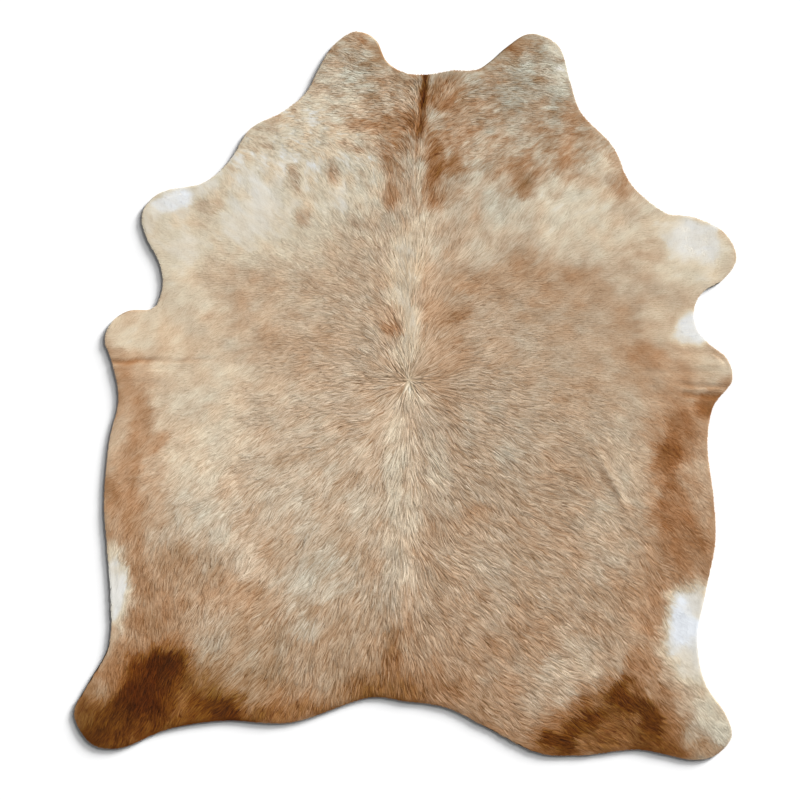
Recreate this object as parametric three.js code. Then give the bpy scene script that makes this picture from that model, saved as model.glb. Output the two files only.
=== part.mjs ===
// A hair-on cowhide that lies flat on the floor, hair side up, tanned and trimmed as one piece.
// Millimetres, +Z up. The neck points to +Y and the tail end to -Y.
// The origin is on the floor, under the middle of the hide's outline.

import * as THREE from "three";

const { degToRad, smoothstep } = THREE.MathUtils;

// Leather at the cut edge, and the short coat that lies on it
const leatherThickness = 2;
const coatThickness = 5;
// The coat rounds off over this distance to the cut edge
const coatTaper = 18;

// The hair grows outward from this whorl on the spine, at the middle of the back
const whorl = new THREE.Vector2(8, 41);
const whorlRadius = 46;
const whorlDepth = 1.8;

// The cut edge, clockwise from the neck as seen from above. A row is one lobe, hollow or run of the edge,
// with its points as [across, along], across to the right and along toward the neck.
const edgeRuns = [
  { run: "left neck lobe", points: [[-152, 1097], [-93, 1075], [-59, 1008]] },
  { run: "neck hollow", points: [[4, 970], [92, 970], [136, 979], [212, 981], [262, 1013], [293, 1041]] },
  { run: "right neck lobe", points: [[376, 1091], [460, 1054], [494, 954]] },
  { run: "right shoulder", points: [[528, 854], [616, 762], [644, 717], [660, 672], [692, 622], [795, 543]] },
  { run: "right foreleg", points: [[838, 540], [884, 530], [964, 488], [1000, 410], [954, 341]] },
  { run: "right armpit", points: [[905, 314], [880, 284], [871, 248], [878, 204], [914, 154]] },
  { run: "right flank lobe", points: [[971, 107], [988, 44], [930, -38]] },
  { run: "right belly", points: [[912, -152], [930, -308], [936, -444], [906, -600], [882, -740]] },
  { run: "right hind leg", points: [[904, -874], [964, -964], [986, -1032], [946, -1087], [880, -1107]] },
  { run: "right rump", points: [[704, -1076], [528, -1093], [400, -1086], [260, -1018]] },
  { run: "tail hollow", points: [[123, -949], [-2, -930], [-104, -918]] },
  { run: "left rump", points: [[-352, -994], [-556, -988], [-728, -1016]] },
  { run: "left hind leg", points: [[-870, -1072], [-951, -1059], [-1004, -966], [-964, -880]] },
  { run: "left belly", points: [[-901, -764], [-894, -624], [-906, -446], [-914, -330], [-897, -140]] },
  { run: "left flank lobe", points: [[-870, -14], [-893, 106], [-912, 166], [-880, 229], [-828, 255]] },
  { run: "left armpit", points: [[-789, 254], [-760, 263], [-736, 328], [-750, 406]] },
  { run: "left foreleg", points: [[-780, 462], [-800, 534], [-778, 583], [-734, 613], [-612, 640]] },
  { run: "left shoulder", points: [[-534, 706], [-472, 801], [-370, 856], [-301, 914]] },
  { run: "left neck side", points: [[-257, 998], [-214, 1060]] },
];

// Ridges and creases of the hair side. Each runs straight from one point to the other, fades at both ends,
// and stands above the coat around it, or below it where its rise is negative.
const folds = [
  { fold: "spine ridge to the neck", from: [46, 640], to: [12, 70], halfWidth: 62, rise: 1.6 },
  { fold: "spine ridge to the tail", from: [4, 10], to: [-18, -760], halfWidth: 66, rise: 1.8 },
  { fold: "tail root", from: [-22, -700], to: [-48, -910], halfWidth: 90, rise: 1.4 },
  { fold: "neck parting", from: [66, 1010], to: [44, 640], halfWidth: 44, rise: -2.6 },
  { fold: "left flank crease", from: [-950, 106], to: [-610, 112], halfWidth: 34, rise: -2.4 },
  { fold: "left flank roll", from: [-940, 52], to: [-650, 62], halfWidth: 40, rise: 1.6 },
  { fold: "right flank upper crease", from: [1030, 52], to: [690, 34], halfWidth: 30, rise: -2.2 },
  { fold: "right flank lower crease", from: [985, -20], to: [720, -12], halfWidth: 30, rise: -1.6 },
  { fold: "right flank roll", from: [1020, 100], to: [720, 88], halfWidth: 44, rise: 1.5 },
  { fold: "right belly wrinkle", from: [530, -80], to: [690, -450], halfWidth: 40, rise: 1.3 },
  { fold: "right belly hollow", from: [610, -80], to: [760, -430], halfWidth: 50, rise: -1.2 },
  { fold: "left belly wrinkle", from: [-540, -170], to: [-460, -400], halfWidth: 40, rise: 1.2 },
];

// Slow waves that leave the hide a little uneven all over, as a hide on a floor is
const waves = [
  { length: 610, heading: 24, height: 0.5 },
  { length: 370, heading: 107, height: 0.35 },
  { length: 233, heading: 160, height: 0.2 },
];

// The solid's points lie on rings around the whorl. The outer rings keep a set distance to the cut edge,
// measured toward the whorl. The inner ones are shares of what is left, with fewer points as they shrink.
const pointsAtEdge = 288;
const edgeInsets = [0, 6, 14, 28, 50];
const innerRings = [
  { pointStep: 1, shares: [0.92, 0.83, 0.74, 0.65, 0.57] },
  { pointStep: 2, shares: [0.5, 0.43, 0.36, 0.3, 0.24] },
  { pointStep: 4, shares: [0.19, 0.14, 0.1] },
  { pointStep: 8, shares: [0.06, 0.03] },
];

const hideMaterial = new THREE.MeshStandardMaterial({ color: 0xc4a17e, roughness: 0.85, metalness: 0 });

// The cut edge as a smooth closed curve through its landmarks, in evenly spaced points
function cutEdge() {
  const places = edgeRuns.flatMap((row) => row.points);
  const landmarks = places.map(([across, along]) => new THREE.Vector3(across, along, 0));
  const curve = new THREE.CatmullRomCurve3(landmarks, true, "centripetal");
  curve.arcLengthDivisions = pointsAtEdge * 8;
  return curve.getSpacedPoints(pointsAtEdge).slice(0, pointsAtEdge);
}

// A soft bell, 1 at its middle and 0 from its half width on
function bell(distance, halfWidth) {
  return 1 - smoothstep(Math.abs(distance), 0, halfWidth);
}

// How far one fold lifts the coat at a place
function foldRise(row, place) {
  const start = new THREE.Vector2(...row.from);
  const run = new THREE.Vector2(...row.to).sub(start);
  const length = run.length();
  const offset = place.clone().sub(start);
  const along = offset.dot(run) / length;
  const aside = offset.cross(run) / length;
  const fade = 2 * row.halfWidth;
  const ends = smoothstep(along, 0, fade) * smoothstep(length - along, 0, fade);
  return row.rise * ends * bell(aside, row.halfWidth);
}

// How far one slow wave lifts the coat at a place
function waveRise(row, place) {
  const heading = degToRad(row.heading);
  const along = place.x * Math.cos(heading) + place.y * Math.sin(heading);
  return row.height * Math.sin((2 * Math.PI * along) / row.length);
}

// The shortest way from a place to the cut edge
function distanceToEdge(place, edge) {
  const from = new THREE.Vector3(place.x, place.y, 0);
  const nearest = new THREE.Vector3();
  const distances = edge.map((point, index) => {
    const side = new THREE.Line3(point, edge[(index + 1) % edge.length]);
    return side.closestPointToPoint(from, true, nearest).distanceTo(from);
  });
  return Math.min(...distances);
}

// A place on the hair side, at its height above the floor
function hairSidePoint(place, edge) {
  const fullness = Math.sqrt(smoothstep(distanceToEdge(place, edge), 0, coatTaper));
  let relief = -whorlDepth * bell(place.distanceTo(whorl), whorlRadius);
  for (const row of folds) {
    relief += foldRise(row, place);
  }
  for (const row of waves) {
    relief += waveRise(row, place);
  }
  return new THREE.Vector3(place.x, place.y, leatherThickness + fullness * (coatThickness + relief));
}

// One ring of the hair side: every so many points of the cut edge, drawn in toward the whorl
function hairSideRing(edge, pointStep, inset, share) {
  const ring = [];
  for (let index = 0; index < edge.length; index += pointStep) {
    const arm = new THREE.Vector2(edge[index].x, edge[index].y).sub(whorl);
    const reach = (arm.length() - inset) * share;
    const place = arm.setLength(reach).add(whorl);
    ring.push(hairSidePoint(place, edge));
  }
  return ring;
}

// All rings of the hide, from the floor under its cut edge, up the edge and in toward the whorl
function hideRings(edge) {
  const rings = [edge, ...edgeInsets.map((inset) => hairSideRing(edge, 1, inset, 1))];
  for (const { pointStep, shares } of innerRings) {
    rings.push(...shares.map((share) => hairSideRing(edge, pointStep, edgeInsets.at(-1), share)));
  }
  return rings;
}

// Triangles between two rings of point numbers, the inner one with as many points or half as many
function bandFaces(outer, inner) {
  const faces = [];
  const step = outer.length / inner.length;
  inner.forEach((here, index) => {
    const next = inner[(index + 1) % inner.length];
    const [near, middle, far] = [0, 1, 2].map((ahead) => outer[(index * step + ahead) % outer.length]);
    faces.push(near, here, middle, here, next, middle);
    if (step === 2) {
      faces.push(middle, next, far);
    }
  });
  return faces;
}

// Triangles from a ring of point numbers to one point in the middle
function fanFaces(ring, middle) {
  return ring.flatMap((point, index) => [point, ring[(index + 1) % ring.length], middle]);
}

// The closed solid: a flat floor side, the cut edge, and the hair side up to the whorl
function hideGeometry() {
  const positions = [];
  const addPoint = (point) => {
    positions.push(point.x, point.y, point.z);
    return positions.length / 3 - 1;
  };
  const edge = cutEdge();
  const rings = hideRings(edge).map((ring) => ring.map(addPoint));
  const floorMiddle = addPoint(new THREE.Vector3(whorl.x, whorl.y, 0));
  const hairMiddle = addPoint(hairSidePoint(whorl, edge));

  const faces = fanFaces(rings[0], floorMiddle);
  for (let level = 1; level < rings.length; level += 1) {
    faces.push(...bandFaces(rings[level - 1], rings[level]));
  }
  faces.push(...fanFaces(rings.at(-1).toReversed(), hairMiddle));

  const geometry = new THREE.BufferGeometry();
  geometry.setAttribute("position", new THREE.Float32BufferAttribute(positions, 3));
  geometry.setIndex(faces);
  geometry.computeBoundingBox();
  const middle = geometry.boundingBox.getCenter(new THREE.Vector3());
  geometry.translate(-middle.x, -middle.y, 0);
  geometry.computeVertexNormals();
  return geometry;
}

const cowhide = new THREE.Mesh(hideGeometry(), hideMaterial);
cowhide.name = "cowhide";

const part = new THREE.Group();
part.add(cowhide);

export default part;
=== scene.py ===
import math

import bpy
import numpy as np
from mathutils.bvhtree import BVHTree
from mathutils.kdtree import KDTree
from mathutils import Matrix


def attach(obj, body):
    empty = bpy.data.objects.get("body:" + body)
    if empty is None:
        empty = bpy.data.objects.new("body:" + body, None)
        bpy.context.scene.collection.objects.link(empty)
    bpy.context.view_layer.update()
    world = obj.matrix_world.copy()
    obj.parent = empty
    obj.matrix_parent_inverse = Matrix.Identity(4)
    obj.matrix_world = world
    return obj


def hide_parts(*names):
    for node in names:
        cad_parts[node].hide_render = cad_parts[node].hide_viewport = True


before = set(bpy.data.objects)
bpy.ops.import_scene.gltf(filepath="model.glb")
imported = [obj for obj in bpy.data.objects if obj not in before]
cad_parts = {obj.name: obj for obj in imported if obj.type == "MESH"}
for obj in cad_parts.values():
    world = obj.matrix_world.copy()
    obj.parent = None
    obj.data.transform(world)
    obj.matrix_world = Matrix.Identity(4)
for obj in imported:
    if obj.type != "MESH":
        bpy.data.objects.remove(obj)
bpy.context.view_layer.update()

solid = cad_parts["cowhide"]
print("solid loaded:", len(solid.data.polygons), "faces")

noiseCells = 256  # grains after which the noise repeats
streakSteps = 7  # places along a streak


def smoothStep(low, high, value):
    share = np.clip((value - low) / (high - low), 0.0, 1.0)
    return share * share * (3.0 - 2.0 * share)


# Soft noise from -1 to 1, with lumps of about one grain
def softNoise(x, y, grain, seed):
    lattice = np.random.default_rng(seed).random((noiseCells, noiseCells)) * 2.0 - 1.0
    u, v = x / grain, y / grain
    column, row = np.floor(u).astype(int), np.floor(v).astype(int)
    a, b = smoothStep(0.0, 1.0, u - column), smoothStep(0.0, 1.0, v - row)
    left, right = column % noiseCells, (column + 1) % noiseCells
    low, high = row % noiseCells, (row + 1) % noiseCells
    lower = lattice[left, low] * (1 - a) + lattice[right, low] * a
    upper = lattice[left, high] * (1 - a) + lattice[right, high] * a
    return lower * (1 - b) + upper * b


# Noise drawn out along the hair, as streaks
def streakNoise(x, y, lie, grain, reach, seed):
    total = np.zeros_like(x)
    for step in np.linspace(-0.5, 0.5, streakSteps):
        total += softNoise(x + step * reach * np.cos(lie), y + step * reach * np.sin(lie), grain, seed)
    return total / math.sqrt(streakSteps)


# Outline and height of the hide, read off the solid
survey = {
    "whorl": (0.0103, 0.0461),  # where the hair lies outward all round
    "cell": 0.006,
    "margin": 0.06,
    "floorLevel": 0.0001,  # the corners of the cut edge are lower,
    "edgeFrom": 0.3,  # and farther from the whorl
    "edgeSteps": 12,  # points between two corners
    "edgeHeight": 0.002,  # taken outside the hide
}
whorlX, whorlY = survey["whorl"]


def readCutEdge():
    places = np.empty(len(solid.data.vertices) * 3)
    solid.data.vertices.foreach_get("co", places)
    places = places.reshape(-1, 3)
    onFloor = places[places[:, 2] < survey["floorLevel"], :2]
    farOut = np.hypot(onFloor[:, 0] - whorlX, onFloor[:, 1] - whorlY) > survey["edgeFrom"]
    corners = np.unique(onFloor[farOut].round(6), axis=0)
    return corners[np.argsort(np.arctan2(corners[:, 1] - whorlY, corners[:, 0] - whorlX))]


# A smooth closed curve through all corners
def roundedEdge(corners, steps):
    before, after, afterNext = (np.roll(corners, shift, axis=0) for shift in (1, -1, -2))
    bend = 2 * before - 5 * corners + 4 * after - afterNext
    twist = 3 * corners - before - 3 * after + afterNext
    runs = []
    for t in np.arange(steps) / steps:
        runs.append(corners + 0.5 * ((after - before) * t + bend * t ** 2 + twist * t ** 3))
    return np.stack(runs, axis=1).reshape(-1, 2)


cutEdge = roundedEdge(readCutEdge(), survey["edgeSteps"])
surveyLeft, surveyLow = cutEdge.min(axis=0) - survey["margin"]
surveyRight, surveyHigh = cutEdge.max(axis=0) + survey["margin"]


# The solid's height and the distance inward from its cut edge, cell by cell
def surveySolid():
    heightTree = BVHTree.FromObject(solid, bpy.context.evaluated_depsgraph_get())
    edgeTree = KDTree(len(cutEdge))
    for index, (x, y) in enumerate(cutEdge):
        edgeTree.insert((x, y, 0.0), index)
    edgeTree.balance()
    across = np.arange(surveyLeft, surveyRight, survey["cell"])
    along = np.arange(surveyLow, surveyHigh, survey["cell"])
    height = np.full((len(along), len(across)), survey["edgeHeight"])
    toEdge = np.zeros_like(height)
    for row, y in enumerate(along):
        for column, x in enumerate(across):
            hit = heightTree.ray_cast((x, y, 1.0), (0.0, 0.0, -1.0))[0]
            distance = edgeTree.find((x, y, 0.0))[2]
            toEdge[row, column] = distance if hit else -distance
            if hit:
                height[row, column] = hit.z
    return height, toEdge


solidHeight, edgeDistance = surveySolid()


# A surveyed value at any place
def surveyed(values, x, y):
    rows, columns = values.shape
    u = np.clip((x - surveyLeft) / survey["cell"], 0, columns - 1.001)  # just short of the last cell
    v = np.clip((y - surveyLow) / survey["cell"], 0, rows - 1.001)
    i, j = u.astype(int), v.astype(int)
    a, b = u - i, v - j
    lower = values[j, i] * (1 - a) + values[j, i + 1] * a
    upper = values[j + 1, i] * (1 - a) + values[j + 1, i + 1] * a
    return lower * (1 - b) + upper * b


print("outline read:", len(cutEdge), "points, highest", round(float(solidHeight.max()), 4))

# Fine creases in the leather, each a straight soft trough, or a ridge below zero, that fades at both ends
# name, from across, from along, to across, to along, half width, depth, painted shade (how much darker it
# is), seed of its wobble
creases = [
    ("left flank", -0.95, 0.103, -0.7, 0.107, 0.014, 0.0007, 0.09, 10),
    ("left flank end", -0.78, 0.105, -0.52, 0.113, 0.012, 0.0003, 0.03, 14),
    ("right flank upper", 1.03, 0.026, 0.78, 0.036, 0.014, 0.0006, 0.04, 17),
    ("right flank lower", 1.0, -0.004, 0.8, 0.008, 0.015, 0.0007, 0.09, 17),
    ("right belly", 0.565, -0.14, 0.695, -0.39, 0.022, -0.001, 0.0, 11),
    ("left belly", -0.513, -0.185, -0.467, -0.386, 0.020, 0.0006, 0.03, 10),
    ("neck parting", 0.073, 1.045, 0.037, 0.748, 0.012, 0.0005, 0.12, 12),
]
creaseForm = {
    "fade": 0.08,  # at each end
    "wobble": (0.004, 0.05),  # how far it strays aside, and its grain
}


# Depth of the creases, and the painted shade that darkens them
def creaseAt(x, y):
    fade, (wobble, grain) = creaseForm["fade"], creaseForm["wobble"]
    depth, paintedShade = np.zeros_like(x), np.zeros_like(x)
    for _, fromX, fromY, toX, toY, halfWidth, trough, shade, seed in creases:
        run = math.hypot(toX - fromX, toY - fromY)
        alongX, alongY = (toX - fromX) / run, (toY - fromY) / run
        offX, offY = x - fromX, y - fromY
        onward = offX * alongX + offY * alongY
        aside = offX * alongY - offY * alongX + wobble * softNoise(onward, onward, grain, seed)
        ends = smoothStep(0.0, fade, onward) * smoothStep(0.0, fade, run - onward)
        bell = ends * (1.0 - smoothStep(0.0, halfWidth, np.abs(aside)))
        depth += trough * bell
        # painted shade along the crease
        paintedShade += shade * bell
    return depth, paintedShade


# The spine wanders a little: its place across, at places along
spine = {
    "along": [-0.93, -0.60, 0.045, 0.28, 0.58, 0.77, 0.97],
    "across": [-0.042, -0.014, 0.010, 0.014, 0.030, 0.040, 0.067],
}


def spineAt(y):
    return np.interp(y, spine["along"], spine["across"])


# A value from a table with a column for each place aside of the spine
def fromTable(along, aside, values, x, y):
    column = np.clip(np.searchsorted(aside, x) - 1, 0, len(aside) - 2)
    share = np.clip((x - np.take(aside, column)) / np.take(np.diff(aside), column), 0.0, 1.0)
    byColumn = np.stack([np.interp(y, along, values[:, k]) for k in range(len(aside))])
    pick = np.arange(len(x))
    return byColumn[column, pick] * (1 - share) + byColumn[column + 1, pick] * share


# Which way the hair lies, in degrees counter-clockwise from +X
lieAside = [-0.75, -0.45, -0.15, -0.045, 0.0, 0.045, 0.15, 0.45, 0.75]
# along, left flank, left side, left back, left of the spine, spine, right of it, back, side, flank
lieRows = [
    (-0.99, 246, 225, 255, 264, 270, 284, 312, 345, 312),
    (-0.81, 253, 225, 262, 262, 270, 284, 308, 329, 315),
    (-0.63, 268, 226, 240, 255, 270, 288, 316, 322, 312),
    (-0.44, 250, 232, 220, 248, 270, 294, 324, 331, 322),
    (-0.26, 220, 216, 228, 248, 270, 292, 314, 329, 317),
    (-0.08, 219, 212, 198, 238, 270, 300, 330, 344, 322),
    (0.10, 205, 203, 176, 130, 90, 50, 8, -4, -14),
    (0.28, 224, 203, 165, 118, 90, 60, 15, -2, 16),
    (0.46, 160, 150, 131, 107, 90, 72, 52, 42, 12),
    (0.65, 130, 132, 118, 102, 90, 70, 42, 47, 50),
    (0.83, 165, 180, 190, 172, 90, 22, 8, 12, 5),
    (0.93, 170, 178, 182, 165, 90, 60, 8, -10, 0),
    (1.01, 165, 172, 176, 150, 90, 80, 2, -15, 0),
]
whorlReach = (0.02, 0.12)  # nearer to the whorl it lies outward


def hairLie(x, y):
    along = [row[0] for row in lieRows]
    angles = np.radians([row[1:] for row in lieRows])
    aside = x - spineAt(y)
    lieX = fromTable(along, lieAside, np.cos(angles), aside, y)
    lieY = fromTable(along, lieAside, np.sin(angles), aside, y)
    outX, outY = x - whorlX, y - whorlY
    out = np.hypot(outX, outY) + 1e-6  # never zero
    nearWhorl = 1.0 - smoothStep(*whorlReach, out)
    lieX = lieX * (1 - nearWhorl) + outX / out * nearWhorl
    lieY = lieY * (1 - nearWhorl) + outY / out * nearWhorl
    return np.arctan2(lieY, lieX)


# Tones of the coat from dark to light, as they look on a screen
# name, lightness, red, green, blue
coatTones = [
    ("darkest brown", 0.14, 66, 30, 2),
    ("dark brown", 0.25, 98, 51, 11),
    ("brown", 0.4, 140, 92, 51),
    ("tan", 0.55, 171, 134, 100),
    ("beige", 0.66, 190, 164, 136),
    ("cream", 0.8, 218, 203, 177),
    ("pale cream", 0.88, 226, 221, 210),
    ("white", 0.96, 232, 236, 241),
]

# Patches of the coat, painted in this order over the base tone, each an oval with a ragged soft edge
# name, across, along, half width, half length, turn in degrees, lightness, cover
coatBase = 0.645
coatPatches = [
    ("upper left cream", -0.362, 0.634, 0.38, 0.255, 25, 0.79, 0.9),
    ("upper right cream", 0.532, 0.544, 0.305, 0.145, -10, 0.755, 0.85),
    ("neck", 0.107, 0.879, 0.335, 0.155, 0, 0.62, 0.85),
    ("left shoulder band", -0.302, 0.293, 0.285, 0.115, 0, 0.66, 0.85),
    ("right shoulder band", 0.422, 0.304, 0.27, 0.1, 0, 0.61, 0.8),
    ("right flank", 0.712, 0.1, 0.255, 0.08, 0, 0.635, 0.7),
    ("left armpit", -0.663, 0.244, 0.125, 0.12, 0, 0.76, 0.85),
    ("by left armpit", -0.553, 0.439, 0.045, 0.035, 0, 0.7, 0.6),
    ("left flank pale", -0.598, -0.09, 0.19, 0.255, 8, 0.745, 0.9),
    ("left loin", -0.318, -0.136, 0.21, 0.195, 0, 0.64, 0.75),
    ("left back", -0.423, 0.01, 0.09, 0.1, 0, 0.7, 0.6),
    ("tan left loin", -0.25, -0.341, 0.06, 0.1, 0, 0.63, 0.6),
    ("left loin pale", -0.533, -0.355, 0.145, 0.115, 0, 0.67, 0.7),
    ("right loin", 0.378, -0.316, 0.255, 0.225, 0, 0.6, 0.7),
    ("right side pale", 0.639, -0.287, 0.1, 0.27, -8, 0.69, 0.75),
    ("right back pale", 0.364, -0.121, 0.1, 0.05, 0, 0.68, 0.5),
    ("right thigh pale", 0.682, -0.456, 0.05, 0.06, 0, 0.65, 0.5),
    ("left thigh brown", -0.704, -0.568, 0.165, 0.135, 0, 0.53, 0.82),
    ("right thigh brown", 0.712, -0.531, 0.135, 0.18, 0, 0.57, 0.7),
    ("by thigh white", 0.767, -0.736, 0.05, 0.12, 0, 0.53, 0.7),
    ("above right hind", 0.712, -0.82, 0.05, 0.06, 0, 0.49, 0.8),
    ("left rump", -0.347, -0.746, 0.255, 0.13, 0, 0.525, 0.8),
    ("left of tail", -0.098, -0.716, 0.11, 0.14, 0, 0.55, 0.6),
    ("right rump", 0.287, -0.711, 0.305, 0.18, 0, 0.575, 0.7),
    ("tail brown", -0.03, -0.908, 0.285, 0.1, 0, 0.44, 0.8),
    ("left rump edge", -0.408, -0.956, 0.24, 0.045, 0, 0.36, 0.82),
    ("left rump low", -0.432, -0.883, 0.13, 0.05, 0, 0.5, 0.75),
    ("right rump edge", 0.302, -1.006, 0.21, 0.06, -22, 0.54, 0.8),
    ("left foreleg", -0.703, 0.455, 0.105, 0.15, 0, 0.805, 0.85),
    ("left foreleg white tip", -0.722, 0.585, 0.075, 0.05, 0, 0.9, 0.95),
    ("left foreleg white edge", -0.783, 0.534, 0.035, 0.05, 0, 0.83, 0.9),
    ("behind left foreleg", -0.59, 0.364, 0.05, 0.04, 0, 0.72, 0.6),
    ("left flank lobe", -0.838, 0.195, 0.095, 0.065, 15, 0.775, 0.85),
    ("right foreleg", 0.867, 0.424, 0.14, 0.12, 0, 0.8, 0.85),
    ("right foreleg white tip", 0.887, 0.479, 0.115, 0.078, -15, 0.88, 0.85),
    ("behind right foreleg", 0.696, 0.333, 0.07, 0.05, 0, 0.7, 0.6),
    ("right armpit halo", 0.797, 0.244, 0.085, 0.105, -20, 0.72, 0.8),
    ("right armpit white", 0.87, 0.195, 0.05, 0.05, 0, 0.9, 0.95),
    ("spine at withers", 0.028, 0.47, 0.085, 0.09, 0, 0.755, 0.85),
    ("spine below withers", -0.005, 0.373, 0.043, 0.14, 0, 0.8, 0.9),
    ("spine above whorl", 0.005, 0.215, 0.04, 0.12, 0, 0.81, 0.9),
    ("spine at back", 0.003, -0.226, 0.05, 0.335, -2, 0.71, 0.8),
    ("spine at loins", -0.018, -0.546, 0.04, 0.135, -2, 0.69, 0.7),
    ("left of spine", -0.029, -0.196, 0.03, 0.17, -2, 0.755, 0.65),
    ("tan at left loin", -0.129, -0.481, 0.07, 0.07, 0, 0.58, 0.75),
    ("left side", -0.62, -0.378, 0.075, 0.07, 0, 0.725, 0.5),
    ("by right withers", 0.228, 0.47, 0.075, 0.06, 0, 0.72, 0.45),
    ("pale right rump", 0.47, -0.747, 0.07, 0.06, 0, 0.665, 0.5),
    ("right of spine", 0.092, -0.184, 0.035, 0.085, 10, 0.75, 0.75),
    ("left neck lobe", -0.158, 1.039, 0.065, 0.075, 0, 0.66, 0.8),
    ("left neck pale edge", -0.228, 0.924, 0.055, 0.09, -30, 0.715, 0.7),
    ("left shoulder pale edge", -0.427, 0.794, 0.06, 0.04, 30, 0.775, 0.7),
    ("below left lobe", -0.188, 0.919, 0.045, 0.03, 0, 0.72, 0.7),
    ("left lobe", -0.09, 1.008, 0.032, 0.03, 20, 0.53, 0.65),
    ("left flank fold shade", -0.901, 0.137, 0.03, 0.03, 0, 0.56, 0.5),
    ("right neck lobe", 0.355, 1.032, 0.065, 0.06, -30, 0.5, 0.88),
    ("right neck pale", 0.443, 0.984, 0.065, 0.09, 10, 0.73, 0.8),
    ("right neck", 0.288, 0.936, 0.07, 0.03, 0, 0.66, 0.7),
    ("pale on right neck", 0.348, 0.817, 0.06, 0.03, 0, 0.7, 0.6),
    ("neck parting", 0.052, 0.875, 0.013, 0.125, -7.5, 0.34, 0.95),
    ("parting foot", 0.04, 0.675, 0.02, 0.075, -3, 0.7, 0.85),
    ("by parting", 0.11, 0.923, 0.06, 0.05, 0, 0.46, 0.8),
    ("left of parting", 0.013, 0.809, 0.05, 0.05, 0, 0.47, 0.85),
    ("left neck", -0.045, 0.83, 0.085, 0.035, 0, 0.5, 0.85),
    ("brown left of spine", -0.04, 0.716, 0.045, 0.085, 0, 0.54, 0.85),
    ("spot left of spine", -0.037, 0.599, 0.025, 0.05, 0, 0.51, 0.8),
    ("right of parting", 0.089, 0.687, 0.03, 0.11, 0, 0.4, 0.9),
    ("brown right neck", 0.149, 0.693, 0.034, 0.055, 0, 0.47, 0.82),
    ("right withers", 0.119, 0.606, 0.045, 0.06, 0, 0.53, 0.78),
    ("tan right of parting", 0.137, 0.839, 0.05, 0.11, 0, 0.54, 0.75),
    ("right neck streak", 0.233, 0.834, 0.06, 0.035, 0, 0.59, 0.65),
    ("right shoulder patch", 0.352, 0.666, 0.062, 0.055, 35, 0.5, 0.9),
    ("right shoulder arm", 0.44, 0.724, 0.08, 0.045, 10, 0.57, 0.72),
    ("right shoulder", 0.43, 0.68, 0.05, 0.03, 0, 0.6, 0.7),
    ("right shoulder edge", 0.532, 0.809, 0.04, 0.09, 38, 0.61, 0.7),
    ("spot on right edge", 0.647, 0.634, 0.025, 0.028, -35, 0.54, 0.75),
    ("cream right withers", 0.242, 0.632, 0.045, 0.07, 0, 0.75, 0.7),
    ("right of withers", 0.122, 0.514, 0.05, 0.05, 0, 0.7, 0.6),
    ("cream right shoulder", 0.536, 0.566, 0.09, 0.07, -5, 0.775, 0.8),
    ("cream by right withers", 0.292, 0.569, 0.045, 0.035, 0, 0.74, 0.6),
    ("left shoulder", -0.444, 0.589, 0.12, 0.13, 0, 0.82, 0.85),
    ("cream left neck", -0.188, 0.674, 0.04, 0.105, 12, 0.79, 0.8),
    ("left neck top", -0.263, 0.854, 0.055, 0.06, 0, 0.79, 0.75),
    ("under neck brown", -0.193, 0.766, 0.05, 0.025, 0, 0.76, 0.7),
    ("left withers", -0.242, 0.589, 0.05, 0.06, 0, 0.79, 0.75),
    ("mottle on left neck", -0.217, 0.671, 0.025, 0.035, 0, 0.62, 0.7),
    ("left shoulder mottle", -0.338, 0.659, 0.025, 0.045, -10, 0.63, 0.7),
    ("below left neck", -0.307, 0.539, 0.03, 0.035, 0, 0.65, 0.7),
    ("left foreleg mottle", -0.588, 0.569, 0.04, 0.025, 0, 0.64, 0.75),
    ("by left withers", -0.128, 0.524, 0.05, 0.025, -10, 0.64, 0.7),
    ("brown right shoulder band", 0.443, 0.359, 0.12, 0.035, 5, 0.58, 0.6),
    ("right withers band", 0.323, 0.405, 0.075, 0.03, 15, 0.565, 0.7),
    ("by right spine", 0.173, 0.299, 0.06, 0.05, 40, 0.585, 0.7),
    ("tuft right of spine", 0.143, 0.234, 0.055, 0.02, 40, 0.5, 0.85),
    ("tan right of spine", 0.228, 0.333, 0.1, 0.055, 0, 0.575, 0.7),
    ("right of whorl", 0.161, 0.088, 0.08, 0.05, 0, 0.6, 0.6),
    ("by whorl", 0.128, 0.091, 0.055, 0.25, 0, 0.555, 0.5),
    ("right of loins", 0.098, -0.468, 0.055, 0.14, 0, 0.555, 0.5),
    ("left of whorl", -0.048, 0.194, 0.034, 0.024, 30, 0.515, 0.88),
    ("right flank red", 0.73, 0.124, 0.055, 0.035, -5, 0.55, 0.8),
    ("right flank lobe", 0.925, 0.085, 0.07, 0.05, 0, 0.735, 0.85),
    ("right shoulder shade", 0.657, 0.633, 0.05, 0.035, 0, 0.55, 0.75),
    ("right shoulder spot", 0.44, 0.627, 0.03, 0.025, 0, 0.66, 0.65),
    ("right flank lobe shade", 0.97, 0.033, 0.03, 0.028, 0, 0.54, 0.8),
    ("right flank pale", 0.847, 0.059, 0.05, 0.03, 0, 0.67, 0.6),
    ("white fleck at whorl", 0.011, 0.036, 0.016, 0.04, 0, 0.8, 0.8),
    ("left flank edge brown", -0.858, 0.03, 0.04, 0.08, 0, 0.575, 0.7),
    ("left flank crease shade", -0.886, 0.131, 0.035, 0.02, 0, 0.58, 0.7),
    ("below left crease", -0.768, 0.067, 0.07, 0.03, 0, 0.7, 0.6),
    ("left belly brown", -0.808, -0.105, 0.04, 0.14, -8, 0.53, 0.8),
    ("left belly inner brown", -0.756, -0.13, 0.035, 0.045, 0, 0.56, 0.7),
    ("left belly low brown", -0.833, -0.331, 0.065, 0.15, 0, 0.53, 0.75),
    ("left belly white", -0.883, -0.586, 0.047, 0.132, 0, 0.88, 0.95),
    ("left thigh red brown", -0.618, -0.546, 0.09, 0.06, 0, 0.56, 0.7),
    ("left thigh inner brown", -0.48, -0.611, 0.07, 0.065, 0, 0.56, 0.75),
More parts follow.
